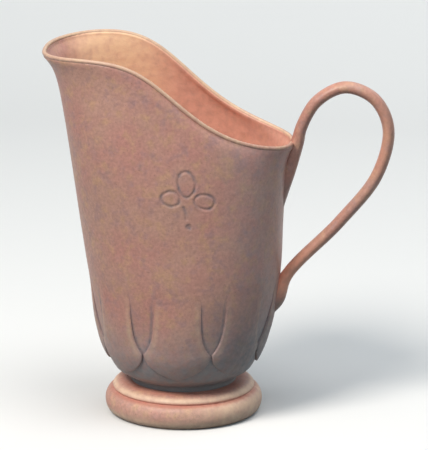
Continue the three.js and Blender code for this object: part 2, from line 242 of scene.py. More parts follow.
def buildGrain():
    # fine clay tooth over a soft unevenness of the glaze, as a height, and a roughness that drifts with it
    number = "NodeSocketFloat"
    group, given, result = newGroup("satinGrain", [("Rough Low", number, 0.42), ("Rough High", number, 0.6)],
                                    [("Height", number), ("Roughness", number)])
    where = addNode(group, "ShaderNodeTexCoord", (-900, 300)).outputs["Object"]
    tooth = noiseBetween(group, grainLook["tooth"], 2.0, 0.2, 0.8, (-640, 300), where)
    swell = noiseBetween(group, grainLook["swell"], 2.0, 0.2, 0.8, (-640, 60), where)
    faint = scaled(group, tooth, grainLook["toothShare"], (-260, 300))
    total = addNode(group, "ShaderNodeMath", (-60, 200), operation="ADD")
    group.links.new(faint, total.inputs[0])
    group.links.new(swell, total.inputs[1])
    rough = addNode(group, "ShaderNodeMapRange", (160, -60))
    group.links.new(swell, rough.inputs["Value"])
    group.links.new(given.outputs["Rough Low"], rough.inputs["To Min"])
    group.links.new(given.outputs["Rough High"], rough.inputs["To Max"])
    group.links.new(total.outputs[0], result.inputs["Height"])
    group.links.new(rough.outputs[0], result.inputs["Roughness"])
    return group


mottle, lightAndWearVeil, pooledGlaze, satinGrain = (
    buildMottle(), buildVeil("lightAndWearVeil", 210.0), buildVeil("pooledGlaze", 330.0), buildGrain())


def clayFinish(name, look):
    material = bpy.data.materials.new(name)
    material.use_nodes = True
    tree = material.node_tree
    shader = tree.nodes["Principled BSDF"]
    shader.inputs["Coat Weight"].default_value = look["coat"]
    shader.inputs["Coat Roughness"].default_value = look["coatRough"]

    def placed(group, spot, values):
        made = addNode(tree, "ShaderNodeGroup", spot, node_tree=group)
        for key, value in values.items():
            made.inputs[key].default_value = value
        return made

    def laid(colour, group, veil, amount, label, column):
        # a veil over the colour so far, where the piece's own mask of that name is high
        made = placed(group, (column, 300), {"Veil": veil, "Amount": amount})
        mask = addNode(tree, "ShaderNodeAttribute", (column - 200, -60), attribute_name=label)
        tree.links.new(colour, made.inputs["Color"])
        tree.links.new(mask.outputs["Fac"], made.inputs["Mask"])
        return made.outputs["Color"]

    clay = placed(mottle, (-1420, 300), {"Base": look["base"], "Rose": look["rose"], "Ochre": look["ochre"],
                                         "Mauve": look["mauve"], "Strength": look["mottle"]})
    colour = clay.outputs["Color"]
    # painted light: the inside, the same clay, laid lighter and warmer as if lit more
    if "inside" in look:
        colour = laid(colour, lightAndWearVeil, look["inside"], look["warmth"], "inside", -1200)
    # painted cool shade: a grey laid where this mask is high
    if "ash" in look:
        colour = laid(colour, lightAndWearVeil, look["ash"], look["ashen"], "ash", -980)
    # painted highlight, with some real wear of the glaze on the lip: the cream laid where the piece's ridge
    # mask is high
    colour = laid(colour, lightAndWearVeil, look["cream"], look["wear"], "ridge", -760)
    # painted shade: the dark tone laid where the piece's recess mask is high
    colour = laid(colour, pooledGlaze, look["dark"], look["pool"], "recess", -540)
    tree.links.new(colour, shader.inputs["Base Color"])
    grain = placed(satinGrain, (-760, -320), {"Rough Low": look["rough"][0], "Rough High": look["rough"][1]})
    tree.links.new(grain.outputs["Roughness"], shader.inputs["Roughness"])
    bump = addNode(tree, "ShaderNodeBump", (-320, -320),
                   {"Strength": look["bump"], "Distance": look["bumpDepth"]})
    tree.links.new(grain.outputs["Height"], bump.inputs["Height"])
    tree.links.new(bump.outputs["Normal"], shader.inputs["Normal"])
    return material


def clayLook(**changes):
    look = {"base": linear(190, 143, 126), "rose": linear(192, 132, 120), "ochre": linear(198, 152, 118),
            "mauve": linear(164, 126, 124), "mottle": 0.75, "cream": linear(228, 194, 160), "wear": 0.7,
            "dark": linear(108, 97, 96), "pool": 0.8, "rough": (0.44, 0.62), "bump": 0.3, "bumpDepth": 0.0005,
            "coat": 0.08, "coatRough": 0.42, "warmth": 0.9, "ashen": 0.85}
    look.update(changes)
    return look


finishes = {
    # cup: its inside colour is painted light, its grey a painted cool shade, its cream a painted highlight and
    # its dark a painted shade
    "cup": clayFinish("cupClay", clayLook(inside=linear(236, 176, 152), ash=linear(158, 160, 161),
                                          cream=linear(255, 210, 168), wear=0.95,
                                          dark=linear(94, 98, 106), pool=0.9, coat=0.25)),
    "petal": clayFinish("petalClay", clayLook(wear=0.3, ash=linear(158, 160, 161), dark=linear(94, 98, 104))),
    "lip": clayFinish("lipClay", clayLook(base=linear(196, 152, 132), rose=linear(192, 142, 124),
                                          ochre=linear(214, 184, 146), mauve=linear(190, 154, 138),
                                          rough=(0.38, 0.52), coat=0.14)),
    # collar: the same clay laid grey, as painted shade under the bowl
    "collar": clayFinish("collarClay", clayLook(base=linear(156, 150, 146), rose=linear(152, 142, 138),
                                                ochre=linear(156, 150, 142), dark=linear(142, 138, 134),
                                                rough=(0.55, 0.7), coat=0.0)),
    # foot: the same clay laid lighter, as painted light
    "foot": clayFinish("footClay", clayLook(base=linear(213, 164, 145), rose=linear(214, 151, 132),
                                            ochre=linear(228, 182, 144), mauve=linear(202, 156, 144),
                                            cream=linear(254, 214, 182), wear=0.85,
                                            dark=linear(206, 134, 116))),
    "handle": clayFinish("handleClay", clayLook(base=linear(184, 138, 122), rose=linear(188, 129, 112),
                                                ochre=linear(204, 162, 132), mauve=linear(174, 140, 136),
                                                cream=linear(255, 178, 146), wear=0.9,
                                                rough=(0.38, 0.54), coat=0.14)),
}
print("finishes:", ", ".join(finishes))


# Cup: thrown, squeezed oval and cut at the mouth

cup = {
    "base": 23.0, "shoulder": 45.5, "belly": 90.0, "waist": 140.0, "throat": 222.0,
    "bowl": ((23.0, 32.6), (28.2, 40.6), (45.5, 48.0)),
    "toSpout": (56.6, 63.9, 75.6), "toHandle": (57.8, 60.0, 61.2), "toSide": (52.0, 50.96, 42.64),
    "wall": 2.4, "floor": 28.5, "fillet": 16.0, "flareDepth": 6.5, "lipSeat": 1.25,
    "tuck": 0.3, "tuckFade": (-1.4, 1.0), "hand": 0.16, "handFade": (92.0, 112.0), "rimFade": (4.0, 22.0),
    "throwing": 0.1, "ringPitch": 6.5, "ringFade": (6.0, 26.0), "floorRings": 40.0,
    "columns": 300, "baseRows": 9, "bowlRows": 22, "wallRows": 170, "insideRows": 52, "floorRows": 14,
    "dartCrowd": (0.16, 4.5), "sprigCrowd": (0.38, 5.5), "drift": (0.24, 0.44),  # where the columns gather
    "wallCrowd": ((0.65,), 0.2, 2.2), "insideCrowd": ((1.0,), 0.12, 2.0),  # where the rows gather
    # tones of painted shade outside the cup, then of painted light and shade inside it
    "neckTone": 0.3, "neckFade": (23.5, 36.0), "underTone": 0.35, "underFade": (38.0, 50.0),
    "lineTone": 0.7, "gapTone": 0.7, "endTone": 0.35, "endFade": (15.0, 55.0), "tipTone": 0.8,
    "tipFade": (58.0, 74.0), "pourFrom": (0.0, 40.0), "pourTip": (-74.0, -56.0), "pourUp": (150.0, 190.0),
}
mouth = {
    "toSpout": 80.6, "toHandle": 63.9, "toSide": 43.0, "squareness": 2.5, "egg": 0.12,
    "spoutHeight": 219.8, "handleHeight": 156.3, "sweepCentre": 8.8, "sweepLength": 39.5, "sweepEase": 0.31,
    "dip": 2.0, "dipStart": 45.0, "lipRadius": 1.4, "slip": 0.3,
}
stations = [h for h, r in cup["bowl"]] + [cup["belly"], cup["waist"], cup["throat"]]
bowlReaches = [r for h, r in cup["bowl"]]
toSpout, toHandle, toSide = (
    fairCurve(stations, bowlReaches + list(cup[key])) for key in ("toSpout", "toHandle", "toSide"))


def oval(turn, spoutReach, handleReach, sideReach, squareness, egg):
    # |x / half|^n + |y / side|^n = 1, narrowed towards the handle by 1 - egg * x / half, and moved along x
    half = (spoutReach + handleReach) / 2
    power = np.abs(np.cos(turn) / half) ** squareness + np.abs(np.sin(turn) / sideReach) ** squareness
    reach = power ** (-1 / squareness)
    x = reach * np.cos(turn)
    return np.stack(((handleReach - spoutReach) / 2 + x, reach * np.sin(turn) * (1 - egg * x / half)), -1)


def section(turn, height):
    # the wall's oval at a height, growing squarer and more egg-shaped from the shoulder to the throat
    rise = ease(height, cup["shoulder"], cup["throat"])
    return oval(turn, toSpout(height), toHandle(height), toSide(height), 2 + (mouth["squareness"] - 2) * rise,
                mouth["egg"] * rise)


def mouthLine(turn):
    # the mouth's oval in plan; height is mid - drop * tanh(s / (length + ease * s)), where s is x from the
    # sweep's centre, less a square dip at the spout's tip
    plan = oval(turn, mouth["toSpout"], mouth["toHandle"], mouth["toSide"], mouth["squareness"], mouth["egg"])
    x, y = plan[..., 0], plan[..., 1]
    along = x - mouth["sweepCentre"]
    mid = (mouth["spoutHeight"] + mouth["handleHeight"]) / 2
    drop = (mouth["spoutHeight"] - mouth["handleHeight"]) / 2
    dip = np.maximum(0, -mouth["dipStart"] - x) / (mouth["toSpout"] - mouth["dipStart"])
    sweep = np.tanh(along / (mouth["sweepLength"] + mouth["sweepEase"] * along))
    z = mid - drop * sweep - mouth["dip"] * dip ** 2
    return np.stack((x, y, z), -1)


def sweepSlant(turn):
    # length of the lip's line for each unit of its plan
    run = mouthLine(turn + tiny) - mouthLine(turn - tiny)
    return np.sqrt(1 + (run[..., 2] / np.hypot(run[..., 0], run[..., 1])) ** 2)


def wallTop(turn):
    return mouthLine(turn)[..., 2] - (mouth["lipRadius"] + mouth["slip"]) * sweepSlant(turn)


def wallPoint(turn, height):
    # the section at this height, flared to the lip by exp(-(top - height) / flareDepth)
    turn, height = np.broadcast_arrays(turn, height)
    top = wallTop(turn)
    along = unit((mouthLine(turn + tiny) - mouthLine(turn - tiny))[..., :2])
    edge = mouthLine(turn)[..., :2] + np.stack((along[..., 1], -along[..., 0]), -1) * cup["wall"] / 2
    near = np.exp(-np.maximum(0, top - height) / cup["flareDepth"])
    near = near * ease(height, cup["shoulder"], cup["waist"])
    plan = section(turn, height) + (edge - section(turn, top)) * near[..., None]
    return np.concatenate((plan, height[..., None]), -1)


def wallNormal(turn, height):
    along = wallPoint(turn + tiny, height) - wallPoint(turn - tiny, height)
    up = wallPoint(turn, height + tiny) - wallPoint(turn, height - tiny)
    return unit(np.cross(along, up))


# Petals: outline and relief, shared by the petal pieces and the lines beside them on the cup

petal = {
    "count": 8, "broad": 48.6, "base": 31.0, "top": 92.0, "round": 45.5, "taper": 0.7, "widest": 46.5,
    "side": 76.0, "sideShare": 0.65, "tipShare": 0.04, "flare": 7.0, "gap": 0.7, "rows": 66, "columns": 41,
    "crown": 1.9, "edge": 0.75, "flank": 2.6, "edgeRound": 1.0, "sink": 0.9, "lowFullness": 0.45,
    "reliefFade": (52.0, 86.0), "skin": 0.03, "tipSink": 0.13, "tipStart": 85.0,
    "lineOff": 0.5, "lineWidth": 1.0, "lineFade": (70.0, 86.0), "lineStart": 1.5, "ashShare": 0.75,
    # painted highlight on the flanks, painted shade at the edges and the lower end
    "flankAt": 0.84, "flankWidth": 0.1, "flankFade": (66.0, 86.0), "flankRise": (38.0, 50.0),
    "edgeTone": 0.7, "edgeBand": (0.955, 1.0), "edgeFade": (70.0, 84.0),
    "endTone": 0.3, "endFade": (31.0, 35.0),
}
# painted shade low on the bowl and up the handle side
lowShadeTones = {  # tones low on the bowl, shared by cup and petals: heights, and spans along x
    "from": 24.0, "to": 74.0, "lift": 16.0, "liftAlong": (-10.0, 45.0), "wash": 0.3,
    "washAlong": (15.0, 50.0), "shade": 0.85, "shadeAlong": (5.0, 45.0), "shadeUp": (40.0, 95.0),
}
broadTurn = np.radians(petal["broad"])
petalWidths = np.where(np.arange(petal["count"]) % (petal["count"] // 2) == 0, broadTurn,
                       (2 * np.pi - 2 * broadTurn) / (petal["count"] - 2))
petalMiddles = np.cumsum(petalWidths) - (petalWidths + broadTurn + np.pi) / 2
petalHalves = petalWidths / 2 - petal["gap"] / 2 / cup["bowl"][2][1]


def petalShare(height):
    # 1 at the widest height, above it share + (1 - share) * exp(-rise / flare); the top is rounded off by
    # sqrt(1 - t^2) and the foot by (1 - t^2)^taper
    rise = np.clip(height, petal["widest"], petal["side"]) - petal["widest"]
    drawn = petal["sideShare"] + (1 - petal["sideShare"]) * np.exp(-rise / petal["flare"])
    upper = np.clip((height - petal["side"]) / (petal["top"] - petal["side"]), 0, 1)
    lower = np.clip((petal["round"] - height) / (petal["round"] - petal["base"]), 0, 1)
    rounding = np.sqrt(1 - upper ** 2) * (1 - lower ** 2) ** petal["taper"]
    return drawn * np.maximum(rounding, petal["tipShare"])


def ashVeil(points):
    # painted cool shade: grey low on the bowl, reaching higher towards the handle, with a thin grey of it up
    # that side
    x, z = points[..., 0], points[..., 2]
    end = lowShadeTones["to"] + lowShadeTones["lift"] * ease(x, *lowShadeTones["liftAlong"])
    wash = lowShadeTones["wash"] * ease(x, *lowShadeTones["washAlong"])
    return np.maximum(1 - ease(z, lowShadeTones["from"], end), wash)


def lowShade(points):
    # painted shade, darker low on the handle side
    x, z = points[..., 0], points[..., 2]
    return lowShadeTones["shade"] * ease(x, *lowShadeTones["shadeAlong"]) * (1 - ease(z, *lowShadeTones["shadeUp"]))


def petalLines(turn, height):
    # how near a point of the wall is to a petal's edge: 1 just outside it, fading with distance and to the top
    off = np.abs((turn[..., None] - petalMiddles + np.pi) % (2 * np.pi) - np.pi)
    away = (off - petalHalves * petalShare(height)[..., None]).min(-1) * toSide(height)
    begun = ease(height, petal["base"] - petal["lineStart"], petal["base"])
    return bell(away - petal["lineOff"], petal["lineWidth"]) * (1 - ease(height, *petal["lineFade"])) * begun


# Incised sprig: three leaves, a stem and a bud on each side of the cup

sprig = {
    "height": 140.0, "along": 8.8, "stem": ((-2.6, -3.0), (-1.1, -9.8)), "budDrop": 14.4, "budRadius": 1.5,
    "budShare": 0.6, "depth": 0.45, "width": 0.75, "burr": 0.06, "burrAt": 2.1, "waver": 0.28,
    "shadeSpread": 1.5, "shadeMean": 0.65,
    # each leaf: tilt in degrees, start, length, width
    "leaves": ((0.0, 2.9, 15.0, 9.8), (91.0, 4.2, 10.8, 8.6), (-79.0, 4.2, 10.8, 8.6)),
}


def sprigDistance(across, up):
    # distance to the nearest line: an ellipse f = 1 lies about |f - 1| / |gradient of f| away
    found = np.full(across.shape, 99.0)  # farther than any line
    across = across + sprig["waver"] * np.sin(0.42 * up + 0.7)
    up = up + sprig["waver"] * np.sin(0.5 * across + 2.1)
    for tilt, start, length, width in sprig["leaves"]:
        lean, halfLong, halfWide = np.radians(tilt), length / 2, width / 2
        a = (across * np.sin(lean) + up * np.cos(lean) - start - halfLong) / halfLong
        b = (across * np.cos(lean) - up * np.sin(lean)) / halfWide
        f = np.hypot(a, b) + 1e-6
        slope = np.hypot(a / halfLong, b / halfWide) / f
        found = np.minimum(found, np.abs(f - 1) / slope)
    top, end = np.array(sprig["stem"])
    lean = end - top
    t = np.clip(((across - top[0]) * lean[0] + (up - top[1]) * lean[1]) / (lean @ lean), 0, 1)
    found = np.minimum(found, np.hypot(across - top[0] - t * lean[0], up - top[1] - t * lean[1]))
    bud = np.hypot(across, up + sprig["budDrop"]) - sprig["budRadius"] * sprig["budShare"]
    return np.minimum(found, np.maximum(bud, 0))


def sprigRelief(turn, height):
    # groove depth * bell(distance), with a low burr pushed up beside it; also the mask of painted shade along
    # the line, which comes and goes along it
    side = np.where(turn < 0, -1.0, 1.0)
    across = (side * np.pi / 2 - turn) * side * toSide(cup["waist"]) - sprig["along"]
    up = height - sprig["height"]
    away = sprigDistance(across, up)
    burr = sprig["burr"] * bell(away - sprig["burrAt"] * sprig["width"], sprig["width"])
    mean = sprig["shadeMean"]
    patchy = mean + (1 - mean) * np.sin(0.9 * across + 0.7 * up)
    paintedShading = bell(away, sprig["width"] * sprig["shadeSpread"]) * patchy
    return burr - sprig["depth"] * bell(away, sprig["width"]), paintedShading


def buildCup():
    # rings from the base's middle out over the bowl, up the wall, over its top into the lip and down inside
    count = cup["columns"]
    darts = (petalMiddles + petalWidths / 2 + np.pi) % (2 * np.pi) - np.pi
    leafTurn = sprig["along"] / toSide(cup["waist"])
    leaves = (leafTurn - np.pi / 2, np.pi / 2 - leafTurn)
    byDart = gradedSteps(-np.pi, np.pi, count, darts, *cup["dartCrowd"])[:-1]
    bySprig = gradedSteps(-np.pi, np.pi, count, leaves, *cup["sprigCrowd"])[:-1]
    rows, outer, inner = [], [], []

    def addRows(points, outerMask, innerMask):
        rows.append(points)
        outer.append(np.full(points.shape[:2], outerMask))
        inner.append(np.full(points.shape[:2], innerMask))

    disc = np.linspace(0, 1, cup["baseRows"])[1:-1, None]
    addRows(wallPoint(byDart[None], cup["base"]) * np.stack((disc, disc, disc ** 0), -1), 0.0, 0.0)
    rise = np.linspace(0, 1, cup["bowlRows"])[:, None]
    low = cup["base"] + (cup["shoulder"] - cup["base"]) * (1 - np.cos(rise * np.pi / 2))
    addRows(wallPoint(byDart[None], low + 0 * byDart[None]), 1.0, 0.0)

    # wall rows: columns drift from the petals' darts to the sprig; slow waves left by the hand press the
    # wall inwards only
    share = gradedSteps(0, 1, cup["wallRows"], *cup["wallCrowd"])[1:, None]
    drift = ease(share, *cup["drift"])
    turn = byDart[None] * (1 - drift) + bySprig[None] * drift
    top = wallTop(turn) + cup["lipSeat"] * sweepSlant(turn)
    up = cup["shoulder"] + share * (top - cup["shoulder"])
    relief, lineRows = sprigRelief(turn, up)
    held = ease(up, *cup["handFade"]) * ease(top - up, *cup["rimFade"])
    hand = cup["hand"] * (np.sin(3 * turn + up / 21) + 0.7 * np.sin(5 * turn - up / 13 + 1.3) - 1.7) * held
    tucked = cup["tuck"] * ease(up - wallTop(turn), *cup["tuckFade"])
    addRows(wallPoint(turn, up) + wallNormal(turn, up) * (relief + hand - tucked)[..., None], 1.0, 0.0)

    # inside: the same wall moved in by its thickness, with faint throwing rings
    share = gradedSteps(0, 1, cup["insideRows"], *cup["insideCrowd"])[::-1, None]
    turn = np.repeat(bySprig[None], len(share), 0)
    top = mouthLine(turn)[..., 2]
    up = cup["shoulder"] + share * (top - cup["shoulder"])
    along = wallPoint(turn + tiny, up) - wallPoint(turn - tiny, up)
    outward = unit(np.stack((along[..., 1], -along[..., 0], 0 * turn), -1))
    wave = np.sin(2 * np.pi * up / cup["ringPitch"] + turn)
    ring = cup["throwing"] * wave * ease(top - up, *cup["ringFade"])
    addRows(wallPoint(turn, up) - outward * (cup["wall"] - ring)[..., None], 0.0, 1.0)

    # fillet and floor: reach = wall reach - thickness - fillet * (1 - cos angle)
    angle = np.linspace(0, np.pi / 2, cup["floorRows"])[:, None]
    up = cup["floor"] + cup["fillet"] * (1 - np.sin(angle))
    reach = toSide(up) - cup["wall"] - cup["fillet"] * (1 - np.cos(angle))
    plan = wallPoint(bySprig[None], up + 0 * bySprig[None])
    addRows(plan * np.stack((reach / toSide(up), reach / toSide(up), 0 * up + 1), -1), 0.0, 1.0)
    last = rows[-1][-1:]
    disc = np.linspace(1, 0, cup["floorRows"])[1:-1, None, None]
    ripple = cup["throwing"] * np.sin(disc * cup["floorRings"])
    flat = last * np.concatenate((disc, disc, disc ** 0), -1)
    addRows(flat + np.concatenate((0 * ripple, 0 * ripple, ripple), -1), 0.0, 1.0)

    points = np.concatenate(rows)
    outerMask, innerMask = np.concatenate(outer), np.concatenate(inner)
    line = np.zeros(points.shape[:2])
    start = len(rows[0]) + len(rows[1])
    line[start:start + len(lineRows)] = lineRows
    x, z = points[..., 0], points[..., 2]
    # painted shade outside: at the neck, under the bowl, beside the petals' edges, low on the handle side and
    # in the sprig's lines
    neck = cup["neckTone"] * (1 - ease(z, *cup["neckFade"]))
    under = cup["underTone"] * (1 - ease(z, *cup["underFade"]))
    gaps = cup["gapTone"] * petalLines(np.arctan2(points[..., 1], x), z)
    low = np.maximum(np.maximum(neck, under), np.maximum(gaps, lowShade(points))) * outerMask
    recess = np.clip(np.maximum(cup["lineTone"] * line, low), 0, 1)
    # painted highlight inside the spout, below its rim
    spoutHighlight = innerMask * ease(-x, *cup["pourFrom"]) * ease(x, *cup["pourTip"]) * ease(z, *cup["pourUp"])
    # painted light inside the cup, less of it towards the handle, and painted shade in the spout's tip
    paintedShading = innerMask * (1 - cup["endTone"] * ease(x, *cup["endFade"]))
    paintedShading = paintedShading * (1 - cup["tipTone"] * ease(-x, *cup["tipFade"]))
    masks = {"inside": paintedShading, "recess": recess, "ridge": spoutHighlight, "ash": ashVeil(points) * outerMask}
    return makePiece("cup_wall", points, masks, "body", finishes["cup"],
                     startPole=(0, 0, cup["base"]), endPole=(0, 0, cup["floor"]))


buildCup()


# Rolled lip round the mouth

lip = {
    "tall": 1.31, "wide": 1.3, "flush": 1.22, "uneven": 0.04, "steps": 420, "sides": 26,
    # the pale rim is partly wear and partly painted highlight; the underside takes painted shade
    "wornAndLit": 0.5, "litMore": 0.4, "litAt": -8.0, "litLength": 28.0, "endLoss": 0.8,
    "endAlong": (15.0, 50.0), "inward": (-0.2, 0.6), "topBand": (-0.5, 0.7), "innerBand": (-0.9, 0.3),
    "under": 0.25, "underBand": (0.55, 1.0),
}


def buildLip():
    # an ellipse carried along the mouth line, flush with the wall inside; outside its size is eased by
    # 1 - uneven * (1 + sines of the turn) / 2
    turn = np.linspace(-np.pi, np.pi, lip["steps"], endpoint=False)
    around = np.linspace(0, 2 * np.pi, lip["sides"], endpoint=False)
    line = mouthLine(turn)
    along = unit(mouthLine(turn + tiny) - mouthLine(turn - tiny))
    outward = unit(np.stack((along[:, 1], -along[:, 0], 0 * turn), -1))
    down = np.cross(along, outward)
    size = 1 - lip["uneven"] * (1 + 0.6 * np.sin(7 * turn) + 0.4 * np.sin(16 * turn + 1)) / 2
    across, drop = np.cos(around)[None], np.sin(around)[None]
    across = np.where(across > 0, across * lip["wide"] * size[:, None], across * lip["flush"])
    points = (line[:, None] + outward[:, None] * across[..., None]
              + down[:, None] * (drop * lip["tall"] * size[:, None])[..., None])
    x = line[:, :1]
    inward = ease(-np.cos(around), *lip["inward"])[None]
    # paler top and outer side: partly real wear, partly painted highlight, most near the mid sweep and fading
    # towards the handle
    wornAndLit = lip["wornAndLit"] + lip["litMore"] * bell(x - lip["litAt"], lip["litLength"])
    wornAndLit = wornAndLit * (1 - lip["endLoss"] * ease(x, *lip["endAlong"]))
    high = ease(-drop, *lip["topBand"]) * wornAndLit * (1 - inward) + inward * ease(-drop, *lip["innerBand"])
    # painted shade under the roll
    under = np.repeat(ease(np.sin(around), *lip["underBand"])[None], len(turn), 0)
    masks = {"ridge": high, "recess": lip["under"] * under}
    return makePiece("lip_roll_clay", points, masks, "lip_roll", finishes["lip"], closedRows=True)


buildLip()


# Eight applied petals round the lower cup

def buildPetal(number):
    # rings up the petal: front from edge to edge, relief = edge + (crown - edge) * (1 - |a|^flank), then back
    # inside the wall; the relief fades out towards the top, and the rows gather at both ends
    rise = np.linspace(0, 1, petal["rows"])[:, None]
    height = petal["base"] + (petal["top"] - petal["base"]) * (0.4 * rise + 0.3 * (1 - np.cos(rise * np.pi)))
    a = np.sin(np.linspace(-1, 1, petal["columns"]) * np.pi / 2)[None]
    halfTurn = petalHalves[number - 1] * petalShare(height)
    turn = petalMiddles[number - 1] + a * halfTurn
    low = petal["lowFullness"]
    fullness = low + (1 - low) * ease(height, petal["base"], petal["widest"])
    relief = petal["edge"] + (petal["crown"] - petal["edge"]) * (1 - np.abs(a) ** petal["flank"]) * fullness
    fromEdge = np.clip((1 - np.abs(a)) * halfTurn * toSide(height) / petal["edgeRound"], 0, 1)
    rounded = np.sqrt(1 - (1 - fromEdge) ** 2)
    atTip = np.clip((height - petal["tipStart"]) / (petal["top"] - petal["tipStart"]), 0, 1)
    lift = (relief * rounded + mouth["slip"]) * (1 - ease(height, *petal["reliefFade"]))
    lift = lift + petal["skin"] - petal["tipSink"] * atTip
    front = wallPoint(turn, height) + wallNormal(turn, height) * lift[..., None]
    back = (wallPoint(turn, height) - wallNormal(turn, height) * petal["sink"])[:, 1:-1][:, ::-1]
    points = np.concatenate((front, back), 1)
    # painted highlight along the flanks; painted shade along the edges, at the lower end and low on the handle
    # side; the grey is painted cool shade
    flank = bell(np.abs(a) - petal["flankAt"], petal["flankWidth"]) * (1 - ease(height, *petal["flankFade"]))
    flank = flank * ease(height, *petal["flankRise"])
    edge = petal["edgeTone"] * ease(np.abs(a), *petal["edgeBand"]) * (1 - ease(height, *petal["edgeFade"]))
    edge = np.maximum(edge, petal["endTone"] * (1 - ease(height, *petal["endFade"])))
    hidden = np.zeros(back.shape[:2])
    masks = {key: np.concatenate((mask, hidden), 1) for key, mask in (("ridge", flank), ("recess", edge))}
    masks["recess"] = np.maximum(masks["recess"], lowShade(points))
    masks["ash"] = petal["ashShare"] * ashVeil(points)
    return makePiece(f"petal_{number}_clay", points, masks, f"petal_{number}", finishes["petal"],
                     startPole=points[0].mean(0), endPole=points[-1].mean(0))


for number in range(1, petal["count"] + 1):
    buildPetal(number)


# Foot and collar, turned on the wheel

foot = {
    "radius": 46.6, "height": 19.4, "lowerBead": 14.2, "upperReach": 42.2, "groove": 0.9, "rest": 8.0,
    "edge": 5.0, "topReach": 33.5, "lowerTurn": 62.0, "upperTurn": 84.0, "wobble": 0.12, "soften": 0.7,
    # the pale beads and side are painted highlight and painted light; the groove, the lowest edge and the top
    # take painted shade
    "columns": 256, "rows": 190, "paleBeads": ((2.8, 2.6), (17.0, 1.9)), "paleAlong": (0.0, 36.0),
    "outside": (38.0, 41.0), "grooveWidth": 1.1, "grooveFrom": (39.0, 41.0), "contactShade": 0.3,
    "contactShadeUp": (0.1, 0.9), "contactShadeFrom": (42.0, 44.0), "neckTone": 0.8, "neckTo": (36.5, 39.0),
    "neckUp": (18.2, 19.3),
}
collar = {
    "base": 19.7, "height": 3.0, "radius": 31.4, "bore": 25.0, "hollow": 0.9, "hollowTurn": 60.0,
    "columns": 160, "rows": 90, "soften": 0.25, "lap": 0.35, "wobble": 0.1, "outside": (29.0, 30.0),
}


def arc(reach, height, across, rise, start, end, steps):
    # reach + across * cos(angle), height + rise * sin(angle)
    angle = np.radians(np.linspace(start, end, steps))
    return np.stack((reach + across * np.cos(angle), height + rise * np.sin(angle)), -1)


def softened(profile, steps, radius):
    # the closed profile resampled evenly, then averaged along its length over about the given radius
    loop = np.concatenate((profile, profile[:1]))
    run = np.concatenate(([0], np.cumsum(np.linalg.norm(np.diff(loop, axis=0), axis=1))))
    at = np.linspace(0, run[-1], steps, endpoint=False)
    even = np.stack((np.interp(at, run, loop[:, 0]), np.interp(at, run, loop[:, 1])), -1)
    reach = int(round(radius / (run[-1] / steps)))
    weights = np.hanning(2 * reach + 3)[1:-1]
    weights = weights / weights.sum()
    return sum(w * np.roll(even, k - reach, 0) for k, w in enumerate(weights))


def turnedRing(profile, columns, wobble):
    # the profile swept round the axis; reach eased inwards by wobble * (1 + sines of the turn) / 2
    turn = np.linspace(-np.pi, np.pi, columns, endpoint=False)[None]
    uneven = wobble * (1 + 0.6 * np.sin(2 * turn + 0.4) + 0.4 * np.sin(5 * turn)) / 2
    reach = profile[:, :1] - uneven
    height = profile[:, 1:] + 0 * turn
    return np.stack((reach * np.cos(turn), reach * np.sin(turn), height), -1)


def buildFoot():
    # a lower and an upper bead as arcs, with a groove between; flat under the foot and at its top
    restInner, topInner = foot["radius"] - foot["edge"] - foot["rest"], foot["topReach"] - foot["edge"]
    beadBase = foot["lowerBead"] + foot["groove"]
    profile = np.concatenate((
        [(restInner, 0.0), (foot["radius"] - foot["edge"], 0.0)],
        arc(foot["radius"] - foot["edge"], foot["lowerBead"] / 2, foot["edge"], foot["lowerBead"] / 2,
            -90, foot["lowerTurn"], 30)[1:],
        [(foot["upperReach"] - foot["groove"], foot["lowerBead"])],
        arc(foot["topReach"], beadBase, foot["upperReach"] - foot["topReach"], foot["height"] - beadBase,
            0, foot["upperTurn"], 20),
        [(topInner, foot["height"]), (topInner, foot["lowerBead"])]))
    profile = softened(profile, foot["rows"], foot["soften"])
    points = turnedRing(profile, foot["columns"], foot["wobble"])
    reach, z = np.repeat(profile[:, :1], foot["columns"], 1), points[..., 2]
    # painted light on the handle side and painted highlight on the beads' crests
    pale = ease(points[..., 0], *foot["paleAlong"])
    for at, width in foot["paleBeads"]:
        pale = np.maximum(pale, bell(z - at, width))
    # painted shade in the groove, at the foot's lowest outer edge where it stands, and at its top next to the
    # collar
    groove = bell(z - foot["lowerBead"], foot["grooveWidth"]) * ease(reach, *foot["grooveFrom"])
    contactShade = foot["contactShade"] * (1 - ease(z, *foot["contactShadeUp"])) * ease(reach, *foot["contactShadeFrom"])
    neck = foot["neckTone"] * (1 - ease(reach, *foot["neckTo"])) * ease(z, *foot["neckUp"])
    masks = {"ridge": pale * ease(reach, *foot["outside"]),
             "recess": np.maximum(np.maximum(groove, contactShade), neck)}
    return makePiece("foot_ring", points, masks, "foot", finishes["foot"], closedRows=True)


def buildCollar():
    # a band with a hollowed face, stretched a little to lap into the cup and the foot
    base, tall, lap, turn = collar["base"], collar["height"], collar["lap"], collar["hollowTurn"]
    top = base + tall
    profile = np.concatenate((
        [(collar["bore"], base), (collar["radius"], base)],
        arc(collar["radius"], (base + top) / 2, -collar["hollow"], tall / 2, -turn, turn, 16),
        [(collar["radius"], top), (collar["bore"], top)]))
    profile = softened(profile, collar["rows"], collar["soften"])
    profile[:, 1] = base - lap + (profile[:, 1] - base) * (tall + 2 * lap) / tall
    points = turnedRing(profile, collar["columns"], collar["wobble"])
    # painted shade over the whole outer face
    outside = np.repeat(ease(profile[:, :1], *collar["outside"]), collar["columns"], 1)
    masks = {"ridge": 0 * outside, "recess": outside}
    return makePiece("collar_coil", points, masks, "neck_collar", finishes["collar"], closedRows=True)


buildFoot()
buildCollar()


# Handle: one pulled strap in the middle plane, wiped onto the wall at both ends

